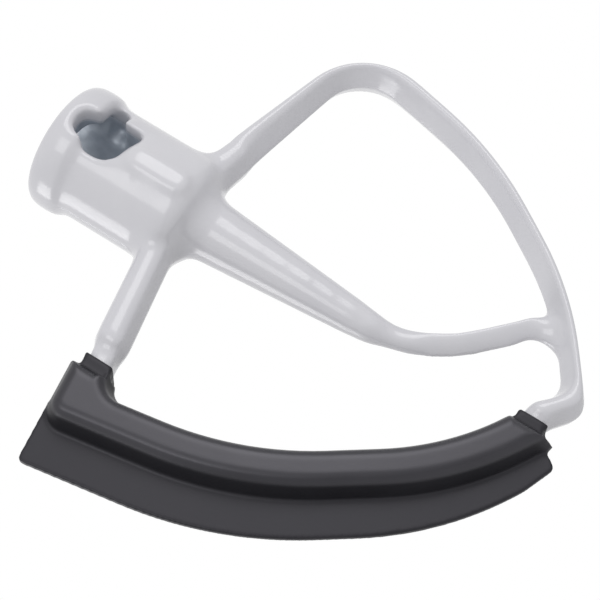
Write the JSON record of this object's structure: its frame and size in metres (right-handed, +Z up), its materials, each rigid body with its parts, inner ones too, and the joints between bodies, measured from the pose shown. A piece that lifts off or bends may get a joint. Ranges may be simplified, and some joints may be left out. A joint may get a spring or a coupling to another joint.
{
  "type": "stand mixer flat beater with flexible edge",
  "caption": "Coated cast flat beater with a bayonet hub, a central spine and an open loop, and a moulded rubber wiping edge along one side of the loop.",
  "frame": {"origin": "centre of the drive bore's mouth, on the hub's top face", "axes": "+Z up the hub's axis and out of the bore, XZ is the casting's parting plane, the bayonet window faces -Y, the bare loop is on +X and the rubber edge on -X"},
  "size_m": [0.1447, 0.0354, 0.1536],
  "materials": {
    "white_coat": "gloss",
    "dark_rubber": "satin"
  },
  "bodies": {
    "root": {"beater_frame": "white_coat", "flex_edge": "dark_rubber"}
  },
  "joints": []
}
